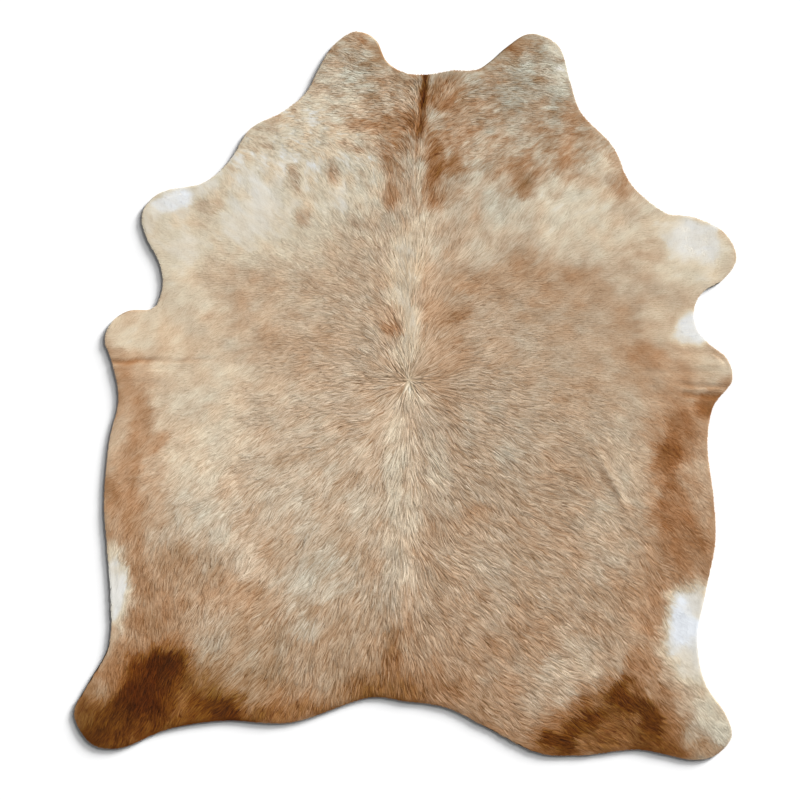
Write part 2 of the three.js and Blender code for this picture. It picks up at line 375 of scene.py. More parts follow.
    ("left thigh low brown", -0.738, -0.715, 0.1, 0.075, 0, 0.5, 0.78),
    ("under belly white", -0.828, -0.685, 0.05, 0.05, 0, 0.52, 0.8),
    ("above left hind", -0.84, -0.786, 0.045, 0.055, 0, 0.49, 0.8),
    ("left hind brown", -0.771, -0.939, 0.25, 0.12, 25, 0.335, 0.9),
    ("left hind dark", -0.735, -0.812, 0.085, 0.062, 20, 0.165, 0.95),
    ("left hind dark low", -0.801, -0.908, 0.09, 0.08, 25, 0.185, 0.92),
    ("left hind tip", -0.892, -1.014, 0.1, 0.06, 0, 0.255, 0.88),
    ("left hind pale edge", -0.886, -0.853, 0.045, 0.05, 0, 0.415, 0.85),
    ("left hind outer edge", -0.963, -0.966, 0.045, 0.06, 0, 0.33, 0.8),
    ("left rump dark arm", -0.55, -0.941, 0.105, 0.05, -27, 0.215, 0.9),
    ("left rump dark edge", -0.638, -0.98, 0.08, 0.03, 0, 0.27, 0.85),
    ("tail root", -0.036, -0.745, 0.03, 0.06, 0, 0.47, 0.85),
    ("right of tail root", 0.019, -0.741, 0.03, 0.14, 0, 0.53, 0.6),
    ("tail", -0.051, -0.895, 0.12, 0.055, 0, 0.38, 0.75),
    ("tail stem", -0.036, -0.813, 0.038, 0.085, 0, 0.42, 0.65),
    ("right rump brown", 0.212, -0.771, 0.12, 0.05, 10, 0.57, 0.7),
    ("right rump pale", 0.488, -0.826, 0.09, 0.05, 10, 0.7, 0.75),
    ("right hind brown", 0.606, -0.99, 0.24, 0.1, 12, 0.375, 0.9),
    ("right hind dark", 0.657, -0.907, 0.065, 0.048, 0, 0.24, 0.95),
    ("spot above right hind", 0.603, -0.853, 0.035, 0.03, 30, 0.45, 0.6),
    ("right hind dark low", 0.736, -0.989, 0.035, 0.07, 15, 0.25, 0.9),
    ("right rump dark arm", 0.524, -0.995, 0.095, 0.028, 34, 0.27, 0.88),
    ("right rump dark edge", 0.449, -1.049, 0.055, 0.035, 0, 0.24, 0.9),
    ("right hind inner", 0.627, -1.028, 0.05, 0.03, 0, 0.375, 0.8),
    ("right hind lower edge", 0.763, -1.059, 0.1, 0.032, 0, 0.31, 0.85),
    ("under right hind", 0.812, -1.016, 0.035, 0.03, 0, 0.4, 0.75),
    ("right belly brown", 0.833, -0.087, 0.075, 0.14, 5, 0.545, 0.8),
    ("right flank edge dark", 0.92, -0.025, 0.035, 0.045, -30, 0.41, 0.85),
    ("right belly dark", 0.794, -0.169, 0.038, 0.075, -15, 0.37, 0.92),
    ("right flank arm", 0.839, -0.087, 0.04, 0.05, 0, 0.45, 0.7),
    ("right belly tail", 0.787, -0.325, 0.04, 0.13, 0, 0.46, 0.85),
    ("right thigh top", 0.757, -0.576, 0.05, 0.1, 0, 0.535, 0.7),
    ("right belly low brown", 0.852, -0.425, 0.08, 0.15, 10, 0.48, 0.85),
    ("right belly pale edge", 0.884, -0.26, 0.035, 0.11, 0, 0.65, 0.85),
    # painted light and painted shade on the two sides of the right belly wrinkle
    ("right wrinkle painted light", 0.673, -0.281, 0.02, 0.09, 26, 0.73, 0.7),
    ("right wrinkle painted shade", 0.618, -0.278, 0.014, 0.12, 28, 0.6, 0.5),
    ("right thigh white", 0.854, -0.708, 0.08, 0.125, 3, 0.93, 0.96),
    ("right thigh white top", 0.893, -0.62, 0.045, 0.05, 0, 0.85, 0.85),
    ("right shank white", 0.887, -0.856, 0.062, 0.11, 8, 0.82, 0.92),
    ("right hind leg", 0.933, -0.947, 0.055, 0.11, 25, 0.76, 0.85),
    ("by right hind", 0.835, -0.913, 0.045, 0.055, 20, 0.68, 0.75),
    ("right hind tip", 0.897, -1.071, 0.065, 0.03, 0, 0.53, 0.8),
    ("brown at right rump edge", 0.3, -0.892, 0.05, 0.04, 0, 0.515, 0.7),
    ("left of loins", -0.205, -0.378, 0.05, 0.085, 0, 0.56, 0.6),
    ("left thigh", -0.471, -0.62, 0.07, 0.08, 15, 0.515, 0.7),
    ("right thigh", 0.66, -0.459, 0.045, 0.045, 0, 0.71, 0.65),
    ("tan at right withers", 0.303, 0.615, 0.035, 0.035, 0, 0.59, 0.65),
    ("by left foreleg", -0.601, 0.624, 0.045, 0.03, 20, 0.84, 0.7),
    ("brown on left rump", -0.42, -0.874, 0.075, 0.06, 0, 0.45, 0.65),
    ("over left hind", -0.695, -0.741, 0.045, 0.03, 0, 0.44, 0.7),
    ("pale right of parting", 0.201, 0.733, 0.035, 0.035, 0, 0.73, 0.65),
    ("left of neck", -0.205, 0.808, 0.04, 0.035, 0, 0.8, 0.65),
    ("tan on left side", -0.371, -0.481, 0.05, 0.045, 0, 0.55, 0.6),
    ("brown right of loins", 0.225, -0.347, 0.04, 0.035, 0, 0.53, 0.6),
    ("by left belly", -0.801, -0.541, 0.035, 0.085, 5, 0.5, 0.6),
    ("left hind spot", -0.716, -0.901, 0.035, 0.035, 0, 0.35, 0.6),
    ("left belly edge", -0.898, -0.305, 0.03, 0.05, 0, 0.51, 0.65),
    ("inside right hind", 0.781, -0.931, 0.03, 0.04, 20, 0.56, 0.6),
    ("over tail", -0.002, -0.626, 0.03, 0.05, 0, 0.595, 0.6),
    ("brown by left belly", -0.607, -0.559, 0.045, 0.04, 0, 0.525, 0.55),
    ("right of rump", 0.285, -0.641, 0.045, 0.045, 0, 0.7, 0.6),
    ("neck hollow", 0.216, 0.954, 0.045, 0.02, 0, 0.71, 0.6),
    ("left flank", -0.771, -0.257, 0.04, 0.05, 0, 0.62, 0.6),
    ("left of withers", -0.111, 0.433, 0.045, 0.045, 0, 0.73, 0.6),
    ("under right foreleg", 0.742, 0.442, 0.04, 0.035, 0, 0.65, 0.65),
    ("under left crease", -0.725, 0.1, 0.05, 0.03, 0, 0.785, 0.65),
    ("left of back", -0.486, 0.176, 0.045, 0.035, 0, 0.745, 0.6),
    ("right of tail", 0.04, -0.816, 0.035, 0.05, 0, 0.5, 0.6),
    ("under right lobe", 0.34, 0.948, 0.045, 0.03, 0, 0.715, 0.6),
    ("right of neck", 0.394, 0.76, 0.04, 0.035, 0, 0.715, 0.6),
    ("left of rump", -0.305, -0.698, 0.045, 0.05, 20, 0.7, 0.6),
    ("right of back", 0.303, -0.178, 0.045, 0.045, 0, 0.715, 0.6),
    ("left of tail hollow", -0.253, -0.895, 0.05, 0.035, 0, 0.49, 0.6),
    ("behind right withers", 0.207, 0.394, 0.04, 0.04, 0, 0.71, 0.55),
    ("over right hind", 0.564, -0.771, 0.045, 0.04, 0, 0.7, 0.55),
    ("tan left of back", -0.459, -0.378, 0.05, 0.05, 0, 0.6, 0.55),
    ("right rump rim", 0.424, -1.08, 0.05, 0.02, 0, 0.36, 0.7),
    ("right hind rim", 0.757, -1.074, 0.11, 0.018, 0, 0.33, 0.6),
    ("above right withers", 0.272, 0.69, 0.036, 0.03, 0, 0.56, 0.65),
    ("brown of right shoulder", 0.42, 0.703, 0.038, 0.026, 10, 0.52, 0.65),
    ("tan of left armpit", -0.625, 0.16, 0.04, 0.085, 0, 0.69, 0.6),
    ("pale at left of parting", -0.02, 0.957, 0.03, 0.025, 0, 0.68, 0.55),
    ("by left neck lobe", -0.314, 0.876, 0.035, 0.035, 0, 0.7, 0.55),
]

# Where the coat is redder than its tone, or greyer below zero, each an oval with a soft edge
# name, across, along, half width, half length, warmth
coatWarmth = [
    ("left flank", -0.768, 0.165, 0.15, 0.12, 0.45),
    ("left belly", -0.788, -0.105, 0.09, 0.24, 0.4),
    ("right flank", 0.742, 0.149, 0.18, 0.12, 0.5),
    ("right belly", 0.822, -0.226, 0.12, 0.3, 1.0),
    ("right thigh", 0.712, -0.681, 0.09, 0.18, 0.7),
    ("left hind", -0.788, -0.846, 0.07, 0.09, 0.9),
    ("left neck lobe", -0.168, 0.984, 0.12, 0.11, -1.0),
    ("right neck lobe", 0.383, 0.954, 0.14, 0.14, -1.5),
    ("neck top", 0.103, 0.94, 0.18, 0.06, -0.6),
    ("left loin", -0.198, -0.681, 0.18, 0.27, -1.0),
    ("left rump", -0.497, -0.776, 0.15, 0.15, -1.5),
    ("left back", -0.24, -0.3, 0.2, 0.25, -0.7),
    ("left hind tip", -0.923, -0.956, 0.09, 0.09, -1.0),
    ("right hind tip", 0.912, -1.016, 0.09, 0.09, -1.0),
    ("right back", 0.203, -0.136, 0.18, 0.18, -0.4),
    ("spine", 0.006, 0.28, 0.07, 0.22, 0.9),
    ("left side", -0.62, -0.4, 0.12, 0.14, -0.9),
    ("right of withers", 0.25, 0.62, 0.15, 0.2, -0.7),
]
warmTint = (0.063, -0.022, -0.09)  # change of red, green and blue for a warmth of 1
paint = {
    "broadDrift": (0.026, 0.06),  # how far a patch's edge strays, and its grain
    "fineDrift": (0.012, 0.02),
    "raggedFrom": 0.06,  # a patch narrower than this strays less
    "patchEdge": (0.45, 1.45),  # shares of its half sizes where a patch fades
    "warmthEdge": (0.4, 1.5),
    "warmthNoise": (0.5, 0.5, 0.04),  # at the rump, how much more at the neck, grain
    "mottling": (0.7, 0.8),  # at the rump, how much more at the neck
    "forward": (0.4, 0.75),  # where along the one turns into the other
    "streaks": [(0.022, 0.013, 0.026, 21), (0.018, 0.03, 0.04, 22)],  # strength, grain, reach, seed
    "clouds": (0.025, 0.085, 23),  # strength, grain, seed
    "neckStreaks": (0.024, 0.006, 0.012, 25),  # finer ones, on the neck only
    "neckFrom": (0.55, 0.75),
    "cream": (0.74, 0.84),  # tones between which the mottling fades
    "creamPlainer": 0.7,
    "richUnder": 0.25,  # darker channels are shaded less
    "white": (0.75, 0.9),  # tones between which the warmth fades
}


def coatWarmthAt(x, y):
    behind, before, grain = paint["warmthNoise"]
    warmth = (behind + before * smoothStep(*paint["forward"], y)) * softNoise(x, y, grain, seed=24)
    for _, across, along, halfWidth, halfLength, amount in coatWarmth:
        reach = np.hypot((x - across) / halfWidth, (y - along) / halfLength)
        warmth += amount * (1.0 - smoothStep(*paint["warmthEdge"], reach))
    return warmth


# How far the ragged edges of the patches stray
def patchDrift(x, y, seed):
    (broad, broadGrain), (fine, fineGrain) = paint["broadDrift"], paint["fineDrift"]
    return broad * softNoise(x, y, broadGrain, seed) + fine * softNoise(x, y, fineGrain, seed + 1)


# Streaks and clouds, most of them on the neck
def coatMottle(x, y, light):
    lie = hairLie(x, y)
    mottle = np.zeros_like(x)
    for strength, grain, reach, seed in paint["streaks"]:
        mottle += strength * streakNoise(x, y, lie, grain, reach, seed)
    strength, grain, seed = paint["clouds"]
    mottle += strength * softNoise(x, y, grain, seed)
    strength, grain, reach, seed = paint["neckStreaks"]
    mottle += strength * smoothStep(*paint["neckFrom"], y) * streakNoise(x, y, lie, grain, reach, seed)
    mottle *= 1.0 - paint["creamPlainer"] * smoothStep(*paint["cream"], light)
    behind, before = paint["mottling"]
    return (behind + before * smoothStep(*paint["forward"], y)) * mottle


def coatLightness(x, y):
    driftX, driftY = patchDrift(x, y, seed=11), patchDrift(x, y, seed=13)
    light = np.full_like(x, coatBase)
    for _, across, along, halfWidth, halfLength, turn, tone, cover in coatPatches:
        ragged = min(1.0, min(halfWidth, halfLength) / paint["raggedFrom"])
        offX, offY = x + ragged * driftX - across, y + ragged * driftY - along
        cosTurn, sinTurn = math.cos(math.radians(turn)), math.sin(math.radians(turn))
        u = (offX * cosTurn + offY * sinTurn) / halfWidth
        v = (offY * cosTurn - offX * sinTurn) / halfLength
        share = cover * (1.0 - smoothStep(*paint["patchEdge"], np.hypot(u, v)))
        light += share * (tone - light)
    # the creases' painted shade is taken off the tone here
    return light + coatMottle(x, y, light) - creaseAt(x, y)[1]


# A tone's colour, shaded as on a screen, then made linear
def toneColour(light, warmth, shade):
    stops = np.array([row[1] for row in coatTones])
    shown = [np.interp(light, stops, [row[k] / 255.0 for row in coatTones]) for k in (2, 3, 4)]
    shown = np.stack(shown, axis=-1)
    shown = np.clip(shown + shade[..., None] * np.minimum(1.0, shown / paint["richUnder"]), 0.0, 1.0)
    colour = np.where(shown < 0.04045, shown / 12.92, ((shown + 0.055) / 1.055) ** 2.4)
    warmth = warmth * (1.0 - smoothStep(*paint["white"], light))
    return colour * (1.0 + warmth[..., None] * np.array(warmTint))


def meshFromArrays(name, points, triangles):
    mesh = bpy.data.meshes.new(name)
    mesh.vertices.add(len(points))
    mesh.vertices.foreach_set("co", points.astype(np.float32).ravel())
    mesh.loops.add(triangles.size)
    mesh.loops.foreach_set("vertex_index", triangles.astype(np.int32).ravel())
    mesh.polygons.add(len(triangles))
    mesh.polygons.foreach_set("loop_start", np.arange(0, triangles.size, 3, dtype=np.int32))
    mesh.update(calc_edges=True)
    mesh.shade_smooth()
    piece = bpy.data.objects.new(name, mesh)
    bpy.context.scene.collection.objects.link(piece)
    return piece


def paintPoints(piece, colours):
    attribute = piece.data.color_attributes.new("coatColour", "FLOAT_COLOR", "POINT")
    rgba = np.ones((len(colours), 4), dtype=np.float32)
    rgba[:, :3] = colours
    attribute.data.foreach_set("color", rgba.ravel())


fineNoise = {
    "detail": 3.0,
    "darkAt": 0.3,  # noise of the darkest spots
    "paleAt": 0.7,
    "bumpHeight": 0.001,
}


# The painted points or one plain colour, broken up by fine noise
def coatMaterial(name, look):
    material = bpy.data.materials.new(name)
    material.use_nodes = True
    nodes, links = material.node_tree.nodes, material.node_tree.links
    shader = nodes["Principled BSDF"]
    place = nodes.new("ShaderNodeTexCoord")
    noise = nodes.new("ShaderNodeTexNoise")
    noise.inputs["Scale"].default_value = look["noiseScale"]
    noise.inputs["Detail"].default_value = fineNoise["detail"]
    links.new(place.outputs["Object"], noise.inputs["Vector"])
    tint = nodes.new("ShaderNodeValToRGB")
    dark, pale = tint.color_ramp.elements
    dark.position, pale.position = fineNoise["darkAt"], fineNoise["paleAt"]
    darkest = 1.0 - look["noiseDepth"]
    dark.color = (darkest, darkest, darkest, 1.0)
    pale.color = (1.0, 1.0, 1.0, 1.0)
    links.new(noise.outputs["Fac"], tint.inputs["Fac"])
    blend = nodes.new("ShaderNodeMix")
    blend.data_type = "RGBA"
    blend.blend_type = "MULTIPLY"
    factor, first, second = [blend.inputs[socket] for socket in (0, 6, 7)]  # its sockets for colours
    factor.default_value = 1.0
    if "colour" in look:
        first.default_value = (*look["colour"], 1.0)
    else:
        painted = nodes.new("ShaderNodeVertexColor")
        painted.layer_name = "coatColour"
        links.new(painted.outputs["Color"], first)
    links.new(tint.outputs["Color"], second)
    links.new(blend.outputs[2], shader.inputs["Base Color"])
    rough = nodes.new("ShaderNodeMapRange")
    rough.inputs["To Min"].default_value, rough.inputs["To Max"].default_value = look["roughness"]
    links.new(noise.outputs["Fac"], rough.inputs["Value"])
    links.new(rough.outputs["Result"], shader.inputs["Roughness"])
    bump = nodes.new("ShaderNodeBump")
    bump.inputs["Strength"].default_value = look["bump"]
    bump.inputs["Distance"].default_value = fineNoise["bumpHeight"]
    links.new(noise.outputs["Fac"], bump.inputs["Height"])
    links.new(bump.outputs["Normal"], shader.inputs["Normal"])
    shader.inputs["Specular IOR Level"].default_value = look["specular"]
    return material


# The leather with the short undercoat on it, as one thin sheet on the solid's form
leather = {
    "drawnIn": 0.001,  # the hair reaches past the leather to the outline
    "rimPoints": 864,
    "insets": [0.0, 0.001, 0.003, 0.006, 0.010, 0.016, 0.028, 0.044],  # of the outer rings
    # inner rings: rim points to one of theirs, largest and smallest share, how many
    "rings": [(1, 0.97, 0.56, 16), (2, 0.54, 0.28, 10), (4, 0.26, 0.12, 6), (8, 0.10, 0.02, 5)],
    "fill": 0.72,  # share of the solid's height that is leather and undercoat
    "rimHeight": 0.002,
    "rimFull": 0.0052,  # it stays this full to the rim, and rounds off there
    "rimRound": 0.004,
    "lump": 0.0004,
    "lumpGrain": 0.045,
    "paintedShade": 0.05,  # painted shade between the locks: the undercoat darker than the hair, apart from white
    "white": (0.72, 0.86),  # tones between which it turns as white as the hair
    "whiter": 0.02,
    "rimDarkEdgeAndShade": 0.6,  # share of its lightness lost at the rim: a darker cut edge, and painted shade that dims the sunlit rim and darkens the shaded one
    "flatSize": (2.004, 2.204),
    "flatArea": 3.35,
    "undercoat": {"noiseScale": 260.0, "noiseDepth": 0.18, "roughness": (0.75, 0.95), "bump": 0.6,
                  "specular": 0.1},
    "cutEdge": {"colour": (0.30, 0.23, 0.17), "noiseScale": 420.0, "noiseDepth": 0.25,
                "roughness": (0.7, 0.9), "bump": 0.4, "specular": 0.25},
    "flesh": {"colour": (0.56, 0.47, 0.37), "noiseScale": 180.0, "noiseDepth": 0.2,
              "roughness": (0.85, 1.0), "bump": 0.5, "specular": 0.15},
}


# The bed that the hair lies on, level to the outline
def coatBed(x, y):
    bed = np.maximum(leather["fill"] * surveyed(solidHeight, x, y), leather["rimFull"])
    return bed + leather["lump"] * softNoise(x, y, leather["lumpGrain"], seed=31) - creaseAt(x, y)[0]


# From 0 at the leather's rim to 1 where it is full
def rimShare(x, y):
    return np.clip((surveyed(edgeDistance, x, y) - leather["drawnIn"]) / leather["rimRound"], 0.0, 1.0)


def undercoatHeight(x, y):
    inward = rimShare(x, y)
    return leather["rimHeight"] + np.sqrt(inward * (2.0 - inward)) * (coatBed(x, y) - leather["rimHeight"])


# Rings of points from the rim to the whorl, the first one on the floor
def leatherRings():
    picked = np.linspace(0, len(cutEdge), leather["rimPoints"], endpoint=False).astype(int)
    armX, armY = (cutEdge[picked] - (whorlX, whorlY)).T
    reach = np.hypot(armX, armY)
    armX, armY = armX / reach, armY / reach
    reach = reach - leather["drawnIn"]
    rings = [(reach, 1)] + [(reach - inset, 1) for inset in leather["insets"]]
    inner = reach - leather["insets"][-1]
    for step, largest, smallest, count in leather["rings"]:
        rings += [(inner * share, step) for share in np.linspace(largest, smallest, count)]
    places = []
    for reachOut, step in rings:
        places.append((whorlX + armX[::step] * reachOut[::step], whorlY + armY[::step] * reachOut[::step]))
    return places


# Triangles between two rings of points, the inner one with as many or half as many
def bandFaces(outer, inner):
    step = len(outer) // len(inner)
    here, onward = inner, np.roll(inner, -1)
    near, middle, far = outer[::step], np.roll(outer, -1)[::step], np.roll(outer, -step)[::step]
    faces = [np.stack([near, middle, here], axis=1), np.stack([here, middle, onward], axis=1)]
    if step == 2:
        faces.append(np.stack([middle, far, onward], axis=1))
    return np.concatenate(faces)


def fanFaces(ring, middle):
    return np.stack([ring, np.roll(ring, -1), np.full_like(ring, middle)], axis=1)


def paintLeather(piece, x, y):
    light = coatLightness(x, y)
    white = smoothStep(*leather["white"], light)
    light += leather["whiter"] * white
    # the undercoat is painted darker as the shade between the locks, less under white hair
    colours = toneColour(light, coatWarmthAt(x, y), -leather["paintedShade"] * (1.0 - white))
    # the rim painted darker: a darker cut edge, and painted shade that dims the sunlit rim
    paintPoints(piece, colours * (1.0 - leather["rimDarkEdgeAndShade"] * (1.0 - rimShare(x, y)))[:, None])


def makeLeather():
    rings = leatherRings()
    points, numbers, total = [], [], 0
    for level, (x, y) in enumerate(rings):
        z = np.zeros_like(x) if level == 0 else undercoatHeight(x, y)
        points.append(np.stack([x, y, z], axis=1))
        numbers.append(np.arange(total, total + len(x)))
        total += len(x)
    top = undercoatHeight(np.array([whorlX]), np.array([whorlY]))[0]
    points.append(np.array([[whorlX, whorlY, top], [whorlX, whorlY, 0.0]]))
    points = np.concatenate(points)
    hairSide = [bandFaces(numbers[k], numbers[k + 1]) for k in range(1, len(rings) - 1)]
    hairSide.append(fanFaces(numbers[-1], total))
    floorSide = fanFaces(numbers[0][::-1], total + 1)
    groups = [np.concatenate(hairSide), bandFaces(numbers[0], numbers[1]), floorSide]
    piece = meshFromArrays("cowhide_leather", points, np.concatenate(groups))
    slots = np.repeat([0, 1, 2], [len(group) for group in groups]).astype(np.int32)
    piece.data.polygons.foreach_set("material_index", slots)
    for name in ("undercoat", "cutEdge", "flesh"):
        piece.data.materials.append(coatMaterial("cowhide_" + name, leather[name]))
    paintLeather(piece, points[:, 0], points[:, 1])
    return piece


leatherSheet = makeLeather()
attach(leatherSheet, "root")
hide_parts("cowhide")
print("leather laid:", len(leatherSheet.data.polygons), "faces")

# The lying coat: short locks of two triangles from root to tip, drawn together in tufts
coat = {
    "seed": 5,
    "spacing": 0.00293,
    "jitter": 0.45,  # share of the spacing that a root strays
    "rootInset": 0.002,  # no root is closer to the outline
    "length": (0.015, 0.054),  # where the coat is smooth, and where it is shaggy
    "lengthSpread": (0.75, 0.3, 0.2),  # least share, more by tuft, more by chance
    "neckShorter": 0.55,
    "neckFrom": (0.5, 0.75),
    "whorlShort": 0.4,  # share of the length at the whorl
    "whorlReach": 0.035,
    "shortest": 0.004,
    "width": (0.0022, 0.0023),
    "widthSpread": (0.8, 1.2),
    "widestAt": 0.45,  # share of the length
    "edgeBand": 0.04,  # it is smooth along the edge
    "tuft": 0.006,  # width of a tuft at its root
    "tuftRagged": (0.3, 0.012),  # how far its border strays, and the grain
    "gather": 0.6,
    "waveTurn": 13.0,  # degrees that the lie wanders
    "waves": [(1.0, 0.024, 41), (0.8, 0.06, 42)],  # strength, grain, seed
    "tuftTurn": 5.0,
    "ownTurn": 2.5,
    "bend": 0.18,
    "bendGrain": 0.03,
    "rootDepth": -0.0003,
    "layer": 0.0006,  # how high the topmost locks lie
    "layerShares": (0.7, 0.3),  # by tuft, by chance
    "tipLayer": 0.8,
    "tuftRise": 0.00035,  # round back of a tuft
    "lift": 0.0003,
    "smoothRelief": 0.14,  # share of that relief where the coat is smooth
    "rimDrop": 0.06,  # share of its height lost at the rim
    "rimBand": (-0.001, 0.006),  # inward from the outline
    "overhang": 0.0022,
    "trims": 8,  # how often a lock that hangs over farther is cut
    "trimShare": 0.8,
    "toneAt": 0.55,  # share of the length where it takes its tone
    # tone that differs from tuft to tuft, painted paler on the tufts on top and darker on those below, as
    # light and shade
    "tuftToneAndShade": 0.07,
    "smoothTufted": 0.1,  # share of that where the coat is smooth
    "ownTone": 0.085,
    "ownDarkest": 3.0,
    # painted light, offsetting the shade between shaggy locks
    "shagPaintedLight": 0.004,
    # painted shade towards the sides of a tuft, between it and the next
    "tuftSidePaintedShade": 0.09,
    "tuftSideEven": 0.33,  # so a tuft keeps its tone on the whole
    # painted shade at each lock's root, which lies under other locks
    "rootPaintedShade": 0.07,
    "tipPaler": 0.035,
    "contrast": 1.15,  # of the coat's tones, around its base tone
    "gain": 0.93,
    "white": (0.72, 0.86),  # tones between which the tufts lose contrast
    "whitePlainer": 0.85,
    "whiteLow": (0.76, 0.88),  # between which the hair lies flatter
    "whiteFlatter": 0.75,
    "whiteRoot": (0.72, 0.92),  # between which root and tip grow alike
    "whiteAlike": 0.75,
    "look": {"noiseScale": 900.0, "noiseDepth": 0.10, "roughness": (0.55, 0.8), "bump": 0.1,
             "specular": 0.12},
    "bands": ["hair_rump", "hair_loins", "hair_back", "hair_shoulders", "hair_neck"],
}
tuftCells = 512  # tufts after which their own numbers repeat

# How shaggy the coat is on either side of the spine, from 0 for short and smooth to 1
shagAside = [0.0, 0.20, 0.45, 0.70, 0.90]
# along, on the spine, beside it, on the back, on the side, on the flank
shagRows = [
    (-1.00, 1.0, 1.0, 0.9, 0.7, 0.5),
    (-0.75, 1.0, 1.0, 1.0, 0.75, 0.45),
    (-0.40, 1.0, 1.0, 1.0, 0.65, 0.45),
    (-0.12, 1.0, 1.0, 0.7, 0.35, 0.25),
    (0.08, 1.0, 0.85, 0.3, 0.05, 0.0),
    (0.28, 0.9, 0.5, 0.18, 0.03, 0.0),
    (0.50, 0.8, 0.35, 0.2, 0.1, 0.05),
    (0.70, 0.75, 0.5, 0.3, 0.2, 0.1),
    (0.90, 0.75, 0.55, 0.4, 0.25, 0.1),
    (1.05, 0.65, 0.5, 0.4, 0.25, 0.1),
]


def shagAt(x, y):
    along = [row[0] for row in shagRows]
    shag = fromTable(along, shagAside, np.array([row[1:] for row in shagRows]), np.abs(x - spineAt(y)), y)
    return shag * smoothStep(0.0, coat["edgeBand"], surveyed(edgeDistance, x, y))


# Roots in staggered rows, stirred by chance
def lockRoots(dice):
    step, jitter = coat["spacing"], coat["jitter"]
    across = np.arange(surveyLeft, surveyRight, step)
    along = np.arange(surveyLow, surveyHigh, step * math.sqrt(0.75))
    x, y = np.meshgrid(across, along)
    x[1::2] += step / 2
    x = (x + dice.uniform(-jitter, jitter, x.shape) * step).ravel()
    y = (y + dice.uniform(-jitter, jitter, y.shape) * step).ravel()
    inside = surveyed(edgeDistance, x, y) > coat["rootInset"]
    return x[inside], y[inside]


# The tuft that each root belongs to: its middle, and four numbers of its own from 0 to 1
def findTufts(x, y, dice):
    size = coat["tuft"]
    ragged, grain = coat["tuftRagged"]
    row = np.floor((y + ragged * size * softNoise(x, y, grain, seed=46)) / size).astype(int)
    shift = 0.5 * (row % 2)
    column = np.floor((x + ragged * size * softNoise(x, y, grain, seed=47)) / size + shift).astype(int)
    own = dice.random((4, tuftCells, tuftCells))[:, column % tuftCells, row % tuftCells]
    return (column + 0.5 - shift) * size, (row + 0.5) * size, own


def lockLengths(x, y, shag, tuftLength, dice):
    smooth, shaggy = coat["length"]
    short = 1.0 - coat["neckShorter"] * smoothStep(*coat["neckFrom"], y)
    length = smooth + (shaggy - smooth) * shag * short
    least, byTuft, byChance = coat["lengthSpread"]
    length *= least + byTuft * tuftLength + byChance * dice.random(len(x))
    fromWhorl = smoothStep(0.0, coat["whorlReach"], np.hypot(x - whorlX, y - whorlY))
    return length * (coat["whorlShort"] + (1.0 - coat["whorlShort"]) * fromWhorl)


# Tone of each lock, and how far painted shade and light, and tone that differs at random, move it from that
def lockTones(x, y, shag, aside, tuftLayer, dice):
    light = coatLightness(x, y)
    tufted = coat["smoothTufted"] + (1.0 - coat["smoothTufted"]) * shag
    tufted *= 1.0 - coat["whitePlainer"] * smoothStep(*coat["white"], light)
    upper = coat["tuftToneAndShade"] * (2.0 * tuftLayer - 1.0)  # tufts differ in tone: those on top painted paler and those below darker, as light and shade
    light += 0.5 * tufted * upper
    fromAxis = np.clip(2.0 * aside / coat["tuft"], -1.0, 1.0) ** 2
    # painted shade towards the sides of each tuft
    shade = tufted * (0.5 * upper - coat["tuftSidePaintedShade"] * (fromAxis - coat["tuftSideEven"]))
    chance = 1.0 - np.minimum(dice.exponential(size=len(x)), coat["ownDarkest"])  # a few are much darker
    shade += coat["ownTone"] * tufted ** 0.7 * chance
    # painted light on shaggy coat, offsetting the shade between its locks
    shade += coat["shagPaintedLight"] * tufted
    return coatBase + coat["contrast"] * (light - coatBase), shade


# All locks, in columns as lockPoints takes them, then tone and shade
def growLocks():
    dice = np.random.default_rng(coat["seed"])
    x, y = lockRoots(dice)
    count = len(x)
    shag = shagAt(x, y)
    tuftX, tuftY, (tuftLength, tuftTurn, tuftBend, tuftLayer) = findTufts(x, y, dice)
    length = lockLengths(x, y, shag, tuftLength, dice)
    narrow, wide = coat["width"]
    width = (narrow + (wide - narrow) * shag) * dice.uniform(*coat["widthSpread"], count)
    wave = sum(strength * softNoise(tuftX, tuftY, grain, seed) for strength, grain, seed in coat["waves"])
    turn = coat["waveTurn"] * wave + coat["tuftTurn"] * (2.0 * tuftTurn - 1.0)
    turn += coat["ownTurn"] * dice.normal(size=count)
    heading = hairLie(tuftX, tuftY) + np.radians(turn)
    aheadX, aheadY = np.cos(heading), np.sin(heading)
    aside = (y - tuftY) * aheadX - (x - tuftX) * aheadY
    bend = coat["bend"] * (softNoise(tuftX, tuftY, coat["bendGrain"], seed=43) + tuftBend - 0.5)
    bend -= coat["gather"] * aside / length
    reachOut = coat["overhang"] * dice.uniform(0.0, 1.0, count)
    for _ in range(coat["trims"]):
        tipX = x + length * (aheadX - bend * aheadY)
        tipY = y + length * (aheadY + bend * aheadX)
        tooFar = surveyed(edgeDistance, tipX, tipY) < -reachOut
        length = np.where(tooFar, length * coat["trimShare"], length)
    kept = ~tooFar & (length > coat["shortest"])
    toneX, toneY = x + coat["toneAt"] * length * aheadX, y + coat["toneAt"] * length * aheadY
    light, shade = lockTones(toneX, toneY, shag, aside, tuftLayer, dice)
    byTuft, byChance = coat["layerShares"]
    layer = coat["layer"] * (byTuft * tuftLayer + byChance * dice.random(count))
    relief = coat["smoothRelief"] + (1.0 - coat["smoothRelief"]) * shag
    relief *= 1.0 - coat["whiteFlatter"] * smoothStep(*coat["whiteLow"], light)
    columns = (x, y, length, width, aheadX, aheadY, bend, aside, layer, relief, light, shade)
    return [column[kept] for column in columns]


